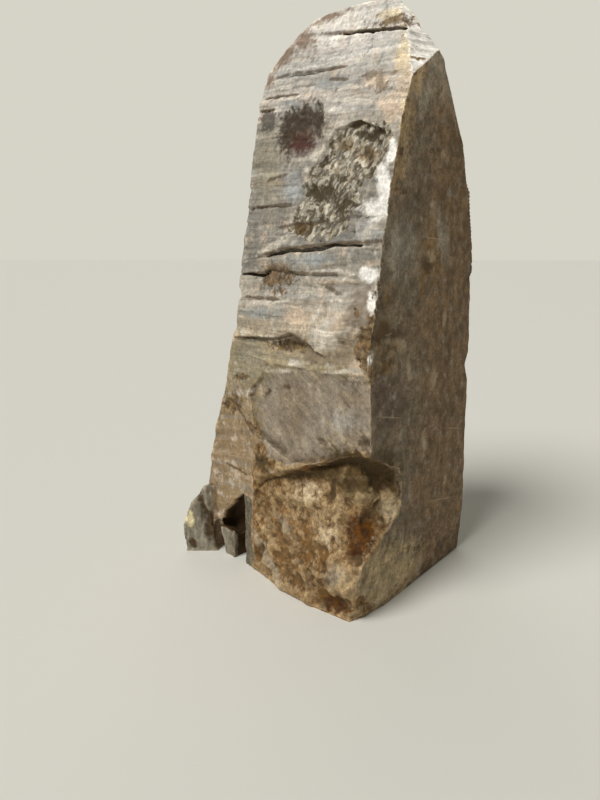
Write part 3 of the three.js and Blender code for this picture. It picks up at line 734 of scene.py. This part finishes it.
# Rims of the patches: size of the crumbs in mm, how far they bite in, softness, strength of the patch
rims = {
    "peach": (6, 1.4, 0.25, 0.8), "yellow": (5, 1.4, 0.2, 0.8), "blue": (6, 1.0, 0.3, 0.7),
    "olive": (6, 1.0, 0.3, 0.75), "cool": (5, 0.8, 0.3, 0.8), "rim": (3, 1.6, 0.3, 0.95),
    "pale": (5, 1.8, 0.25, 0.85), "slate": (4, 1.2, 0.12, 0.9),
    "flatFace": (5, 1.0, 0.2, 1.0), "coolOnFlat": (7, 1.6, 0.4, 0.35),
    "crystal": (4, 1.6, 0.12, 1.0), "crystalWarm": (3, 1.0, 0.3, 0.7), "crystalDark": (4, 2.2, 0.16, 0.9),
    "broken": (5, 1.2, 0.2, 1.0), "creamEarth": (8, 1.4, 0.25, 0.85), "brownEarth": (8, 1.4, 0.25, 0.85),
    "darkEarth": (6, 1.6, 0.2, 0.85), "paleEarth": (4, 1.8, 0.35, 0.7), "oliveOverhangShade": (6, 1.4, 0.3, 0.8),
    "greyEarth": (4, 1.4, 0.25, 0.85), "rust": (4, 1.2, 0.2, 1.0), "overhangShadow": (4, 1.2, 0.25, 0.92),
    "dusky": (3, 2.2, 0.4, 0.7), "brown": (4, 2.4, 0.24, 0.9), "stain": (5, 1.4, 0.25, 0.95),
    "pit": (3, 2.4, 0.28, 0.9), "red": (3, 1.8, 0.3, 0.9), "mark": (4, 2.4, 0.2, 0.6),
    "white": (7, 1.2, 0.2, 0.95),
    "foot": (3, 0.5, 0.15, 1.0), "toeLight": (2.5, 0.8, 0.2, 1.0), "footDirtAndShade": (3, 0.9, 0.2, 0.95),
    "cavity": (4, 0.6, 0.3, 1.0),
    "sawnFace": (2.5, 0.7, 0.2, 1.0), "sawnWarm": (9, 1.2, 0.4, 0.7), "sawnGrey": (9, 1.0, 0.4, 0.8),
    "sawnFacet": (5, 0.6, 0.12, 0.8), "ochre": (6, 1.4, 0.3, 0.85), "drip": (5, 1.6, 0.3, 0.85),
    "sawnBeige": (6, 0.4, 0.15, 1.0), "sawnDark": (4, 1.5, 0.2, 0.75), "sawnLight": (4, 1.5, 0.25, 0.6),
    "brownOnSawn": (3, 1.4, 0.25, 0.85), "overhangShadowOnSawn": (4, 1.2, 0.25, 0.7),
}

# Saw scratches: middle (x, z), reach in mm, turn in degrees
scratches = [(66, 226, 27, 3), (24, 125, 22, 13), (108, 100, 19, 13), (94, 52, 34, 13)]


def stoneMaterial():
    material = bpy.data.materials.new("rawSoapstone")
    material.use_nodes = True
    tree = material.node_tree
    shader = tree.nodes["Principled BSDF"]
    shader.inputs["Specular IOR Level"].default_value = 0.3
    wire, maths, step, cloud, blend = nodeTools(tree)
    ragged = raggedGroup()

    def mask(name):
        return wire("ShaderNodeAttribute", {}, out="Fac", attribute_name=name)

    def worn(name, rim=None):  # a painted mask with a crumbly rim
        grain, bite, softness, share = rims[rim or name]
        inputs = {"Field": mask(name), "Vector": place, "Grain": grain, "Bite": bite, "Softness": softness}
        made = wire("ShaderNodeGroup", inputs, node_tree=ragged)
        return made if share == 1.0 else maths("MULTIPLY", made, share)

    def patch(under, name, rim=None):
        return blend(worn(name, rim), under, looks[name])

    def dusted(under, name, value, start, end, share=1.0):  # adds a colour as the value nears end
        return blend(step(value, start, end, 0.0, share), under, looks[name])

    def shaded(under, value, dark, light, low=0.3, high=0.7):  # darker and lighter with a noise value
        amount = step(value, low, high, dark, light)
        grey = wire("ShaderNodeCombineColor", {0: amount, 1: amount, 2: amount})
        return blend(1.0, under, grey, "MULTIPLY")

    def turned(vector, turn, scale):  # coordinates turned about the x axis and drawn out
        inputs = {"Vector": vector, "Rotation": (math.radians(turn), 0, 0), "Scale": scale}
        return wire("ShaderNodeMapping", inputs, vector_type="TEXTURE")

    def stretched(size, detail, turn, pull):  # noise drawn out along a turned line
        return cloud(turned(place, turn, (pull ** 0.5, pull, 1)), size, detail, 0.6)

    def grains(size, turn=0, pull=1.0):  # every grain gets a tone of its own, 0 to 1
        rough = maths("MULTIPLY", blots, 0.8)
        stir = wire("ShaderNodeCombineXYZ", {0: rough, 1: rough, 2: rough})
        stirred = wire("ShaderNodeVectorMath", {0: place, 1: stir}, operation="ADD")
        inputs = {"Vector": turned(stirred, turn, (1, pull, 1)), "Scale": 1 / size}
        return wire("ShaderNodeTexVoronoi", inputs, out="Color")

    def splitFace():  # tones by height, then patches
        broadStir, bandStir = 22.0, 16.0  # mm that the noises move the tones up and down
        lifted = maths("MULTIPLY_ADD", broad, broadStir, maths("ADD", bed, -broadStir / 2))
        lifted = maths("MULTIPLY_ADD", bands, bandStir, maths("ADD", lifted, -bandStir / 2))
        stops = [(tall / stone["height"], tint) for tall, tint in looks["tones"]]
        colour = colourRamp(tree, maths("DIVIDE", lifted, stone["height"]), stops)
        warmth = cloud(onBed, 8, 3)
        colour = dusted(colour, "warm", warmth, 0.54, 0.68, 0.55)
        colour = dusted(colour, "blue", warmth, 0.44, 0.32, 0.35)
        colour = dusted(colour, "pale", blotches, 0.55, 0.68, 0.6)
        colour = dusted(colour, "dull", blotches, 0.45, 0.33, 0.55)
        return dusted(colour, "peach", patchy, 0.54, 0.66, 0.42)

    def splitPatches(under):
        colour = under
        for name in ("peach", "yellow", "blue", "olive", "cool", "rim"):
            colour = patch(colour, name)
        # near white on the up-facing chamfer facet: pale stone with a painted highlight
        colour = blend(mask("chamferHighlight"), colour, looks["chamferHighlight"])
        colour = patch(patch(colour, "pale"), "slate")
        combed = step(cloud(place, 30, 2), 0.42, 0.6, 0.45, 1.0)  # streaks come and go
        combed = maths("MULTIPLY", combed, step(z, 120, 165, 0.3, 1.0))
        streaked = shaded(shaded(colour, bands, 0.68, 1.28), threads, 0.66, 1.28)
        return blend(combed, colour, streaked)

    def mauveFlat(under):  # smooth, with slanting veins
        veins = stretched(4.5, 5, 30, 5)
        mauve = dusted(looks["mauve"], "mauveGrey", broad, 0.40, 0.60)
        mauve = dusted(mauve, "mauveVein", veins, 0.54, 0.70, 0.8)
        mauve = shaded(mauve, veins, 0.72, 1.06, 0.3, 0.5)
        mauve = patch(mauve, "cool", "coolOnFlat")
        mauve = shaded(mauve, middle, 0.84, 1.14)
        return blend(worn("flatFace"), under, mauve)

    def crystalHollow(under):
        crystal = dusted(looks["crystal"], "crystalPale", grains(1.5, 130, 1.7), 0.40, 0.60)
        crystal = patch(crystal, "crystalWarm")
        crystal = shaded(crystal, middle, 0.72, 1.2)
        crystal = shaded(crystal, grains(3.0, 130, 1.4), 0.55, 1.3)
        crystal = patch(crystal, "crystalDark")
        # darker in crevices (dirt and painted shade) and paler on ridges (painted highlight)
        crystal = dusted(crystal, "crystalDark", crevice, 0.1, 0.6, 0.85)
        crystal = dusted(crystal, "crystalPale", crevice, -0.2, -0.7, 0.4)
        return blend(worn("crystal"), under, crystal)

    def brokenCorner(under):  # sugary break in earth colours, with rust
        earth = dusted(looks["earthRed"], "earth", cloud(place, 13, 4, 0.6), 0.42, 0.58)
        earth = dusted(earth, "greyEarth", patchy, 0.55, 0.66, 0.6)
        for name in ("creamEarth", "brownEarth", "darkEarth"):
            earth = patch(earth, name)
        crumb = grains(2.8)
        earth = dusted(earth, "earthPale", crumb, 0.52, 0.72, 0.25)
        earth = dusted(earth, "earthRed", crumb, 0.46, 0.28, 0.3)
        earth = dusted(earth, "earthRed", lumps, 0.50, 0.38, 0.7)
        # the olive patches are painted shade under the overhang
        for name in ("paleEarth", "oliveOverhangShade", "greyEarth"):
            earth = patch(earth, name)
        # redder and darker in dips and crevices, paler on bulges and ridges: dirt with painted shade, and a
        # painted highlight
        earth = dusted(earth, "earthRed", dip, 0.1, 0.7, 0.5)
        earth = dusted(earth, "earthPale", dip, -0.05, -0.6, 0.22)
        earth = shaded(earth, blots, 0.8, 1.15)
        earth = dusted(earth, "earthPit", crevice, 0.3, 1.0, 0.7)
        earth = dusted(earth, "earthPale", crevice, -0.3, -0.9, 0.1)
        rusty = dusted(looks["rust"], "rustBright", middle, 0.42, 0.60)
        earth = blend(worn("rust"), earth, rusty)
        # dark brown painted shadow under the overhang
        return patch(blend(worn("broken"), under, earth), "overhangShadow")

    def stains(under):
        colour = patch(under, "dusky")
        browns = dusted(looks["brown"], "brownPale", blots, 0.43, 0.57)
        colour = blend(worn("brown"), colour, browns)
        for name in ("stain", "pit", "red", "mark", "white"):
            colour = patch(colour, name)
        return colour

    def footOfStone(under):  # toe, slab and pillar
        grey = dusted(looks["pillar"], "foot", y, 112, 142)
        grey = blend(blots, grey, looks["footPale"])
        grey = shaded(grey, stretched(2.4, 4, 90, 6), 0.65, 1.15)
        # dark brown in the groove and hollow of the foot: dirt and painted shade
        grey = patch(patch(grey, "toeLight"), "footDirtAndShade")
        colour = blend(worn("foot"), under, grey)
        return blend(worn("cavity"), colour, looks["footDirtAndShade"])

    def hiddenSides(under, plain):
        rest = dusted(looks["hidden"], "hiddenBrown", middle, 0.4, 0.62)
        rest = dusted(rest, "hiddenPale", bands, 0.48, 0.66, 0.6)
        rest = blend(step(broad, 0.38, 0.62, 0.1, 0.65), rest, plain)
        rest = shaded(rest, threads, 0.74, 1.2)
        rest = shaded(rest, lumps, 0.82, 1.16)
        front = mask("splitFace")
        front = maths("MAXIMUM", front, maths("MAXIMUM", mask("broken"), mask("chamferHighlight")))
        return blend(maths("SUBTRACT", 1.0, front), under, rest)

    def grainDirtAndPaintedLight(under):  # grain all over, dirt and painted shade in the cracks and hollows, ridges and edges lightened by rubbed wear and a painted highlight
        colour = shaded(under, blots, 0.81, 1.19)
        colour = shaded(colour, fine, 0.82, 1.18)
        line = maths("MULTIPLY_ADD", fine, 0.5, mask("hairline"))
        line = maths("MULTIPLY_ADD", middle, 0.9, line)
        colour = dusted(colour, "crack", line, 1.15, 1.55, 0.8)
        # darker in cracks and broader hollows: dirt and painted shade
        colour = dusted(colour, "crack", crevice, 0.3, 1.0, 0.85)
        colour = dusted(colour, "crack", dip, 0.2, 0.9, 0.5)
        # lighter on ridges and edges, less on the broken corner: rubbed wear and a painted highlight
        rubbedAndHighlit = blend(1.0, colour, looks["rubbedAndHighlit"], "MULTIPLY")
        onEdges = step(crevice, -0.15, -0.7)
        offBreak = step(mask("broken"), 0.3, 0.9, 1.0, 0.3)
        return blend(maths("MULTIPLY", onEdges, offBreak), colour, rubbedAndHighlit)

    def sawnFace(under):
        smears, ribbons = stretched(5, 2, 90, 3), stretched(3, 2, 90, 6)
        sawn = dusted(looks["sawn"], "sawnWarm", maths("MULTIPLY_ADD", broad, 60.0, x), 70, 110)
        sawn = dusted(sawn, "sawnTop", z, 285, 325)
        for name in ("sawnWarm", "sawnGrey", "sawnFacet", "ochre", "drip", "sawnBeige"):
            sawn = patch(sawn, name)
        sawn = dusted(sawn, "sawnGrey", blotches, 0.52, 0.66, 0.6)
        sawn = dusted(sawn, "sawnBrown", middle, 0.46, 0.34, 0.7)
        sawn = shaded(sawn, smears, 0.84, 1.16)
        sawn = dusted(sawn, "sawnBrown", ribbons, 0.46, 0.34, 0.3)
        sawn = shaded(sawn, broad, 0.84, 1.14)
        sawn = shaded(sawn, lumps, 0.70, 1.28)
        sawn = shaded(sawn, fine, 0.84, 1.16)
        sawn = dusted(sawn, "sawnDark", blots, 0.36, 0.29, 0.6)
        sawn = dusted(sawn, "sawnLight", blots, 0.64, 0.70, 0.35)
        sawn = patch(patch(sawn, "sawnDark"), "sawnLight")
        # painted shadow of the overhang where it reaches the sawn face
        sawn = patch(patch(sawn, "brown", "brownOnSawn"), "overhangShadow", "overhangShadowOnSawn")
        for middleX, middleZ, reach, turn in scratches:
            inputs = {"Vector": place, "Location": (middleX, 0, middleZ), "Scale": (reach, 1e5, 0.7),
                      "Rotation": (0, math.radians(turn), 0)}
            onScratch = wire("ShaderNodeMapping", inputs, vector_type="TEXTURE")
            away = wire("ShaderNodeVectorMath", {0: onScratch}, out="Value", operation="LENGTH")
            sawn = dusted(sawn, "sawnLight", maths("MULTIPLY_ADD", fine, 1.4, away), 1.6, 0.9, 0.5)
        return blend(worn("sawnFace"), under, sawn)

    bare = wire("ShaderNodeTexCoord", {}, out="Object")
    inputs = {"Vector": bare, "Location": tuple(-corner), "Scale": (perMetre, perMetre, perMetre)}
    place = wire("ShaderNodeMapping", inputs)
    axes = tree.nodes.new("ShaderNodeSeparateXYZ")
    tree.links.new(place, axes.inputs[0])
    x, y, z = axes.outputs
    bed, crevice, dip = mask("bed"), mask("crevice"), mask("dip")

    # Coordinates along the layers, so that noise comes out as bands
    flatY = maths("MULTIPLY", y, 0.07)
    flatX = maths("MULTIPLY", x, 0.07)
    wavy = maths("MULTIPLY_ADD", cloud(place, 9), 3.0, bed)
    onBed = wire("ShaderNodeCombineXYZ", {0: flatX, 1: flatY, 2: wavy})
    broad, middle = cloud(place, 26), cloud(place, 7, 4, 0.6)
    fine, blots = cloud(place, 1.5, 4, 0.65), cloud(place, 3.4, 5, 0.65)
    bands, threads = cloud(onBed, 6.0, 4, 0.6), cloud(onBed, 1.9, 4, 0.65)
    blotches, patchy = cloud(place, 8, 4, 0.6), cloud(place, 11, 4, 0.6)

    plain = splitFace()
    colour = crystalHollow(mauveFlat(splitPatches(plain)))
    lumps = cloud(place, 6, 4, 0.6)
    colour = footOfStone(stains(brokenCorner(colour)))
    colour = sawnFace(grainDirtAndPaintedLight(hiddenSides(colour, plain)))
    tree.links.new(colour, shader.inputs["Base Color"])

    roughness = step(blots, 0.3, 0.7, 0.72, 0.92)
    tree.links.new(roughness, shader.inputs["Roughness"])
    height = maths("MULTIPLY_ADD", fine, 0.45, maths("MULTIPLY", blots, 0.5))
    inputs = {"Height": height, "Distance": 0.001, "Strength": 0.4}
    bump = wire("ShaderNodeBump", inputs, out="Normal")
    tree.links.new(bump, shader.inputs["Normal"])
    return material


carved.data.materials.append(stoneMaterial())
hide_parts("soapstone_block")
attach(carved, "root")
print("stage 6: material made")

# Floor, lights and camera
studio = {
    "floorSize": 60,  # m
    "floor": (0.755, 0.745, 0.68, 1),
    "floorRoughness": 0.9,
    "backdrop": (0.672, 0.658, 0.575, 1),
    "ambient": 0.22,
    "lampColour": (1.0, 0.99, 0.97),
    "camera": (-266.9, -175.5, 216.0),  # mm from the stone's front corner
    "heading": 50.0,  # degrees from the sawn face's line
    "pitch": 13.49,
    "lens": 27.045,
}

bpy.ops.mesh.primitive_plane_add(size=studio["floorSize"], location=(0, 0, 0))
floor = bpy.context.object
floor.name = "floor"
floorMaterial = bpy.data.materials.new("paleFloor")
floorMaterial.use_nodes = True
floorInputs = floorMaterial.node_tree.nodes["Principled BSDF"].inputs
floorInputs["Base Color"].default_value = studio["floor"]
floorInputs["Roughness"].default_value = studio["floorRoughness"]
floor.data.materials.append(floorMaterial)

world = bpy.data.worlds.new("studio")
bpy.context.scene.world = world
world.use_nodes = True
worldTree = world.node_tree
background = worldTree.nodes["Background"]
background.inputs["Color"].default_value = studio["backdrop"]
wire = nodeTools(worldTree)[0]
seen = wire("ShaderNodeLightPath", {}, out="Is Camera Ray")
strength = wire("ShaderNodeMix", {0: seen, 2: studio["ambient"], 3: 1.0}, data_type="FLOAT")
worldTree.links.new(strength, background.inputs["Strength"])


def softLight(name, towards, power, spread):  # a wide lamp so far off that it lights evenly
    lamp = bpy.data.lights.new(name, "SUN")
    lamp.energy = power
    lamp.angle = math.radians(spread)
    lamp.color = studio["lampColour"]
    holder = bpy.data.objects.new(name, lamp)
    bpy.context.scene.collection.objects.link(holder)
    holder.rotation_euler = Vector(towards).to_track_quat("Z", "Y").to_euler()


softLight("window", (-0.62, 0.10, 0.77), power=2.6, spread=28)
softLight("backFill", (0.6, 0.7, 0.5), power=0.5, spread=60)

lens = bpy.data.cameras.new("camera")
lens.lens = studio["lens"]
camera = bpy.data.objects.new("camera", lens)
bpy.context.scene.collection.objects.link(camera)
camera.location = Vector((np.array(studio["camera"]) + corner) / perMetre)
heading, pitch = math.radians(studio["heading"]), math.radians(studio["pitch"])
right = Vector((math.cos(heading), -math.sin(heading), 0))
ahead = Vector((math.sin(heading) * math.cos(pitch), math.cos(heading) * math.cos(pitch), -math.sin(pitch)))
above = right.cross(ahead)
camera.rotation_euler = Matrix((right, above, -ahead)).transposed().to_euler()
bpy.context.scene.camera = camera
bpy.context.scene.view_settings.view_transform = "Standard"
print("stage 7: studio set")
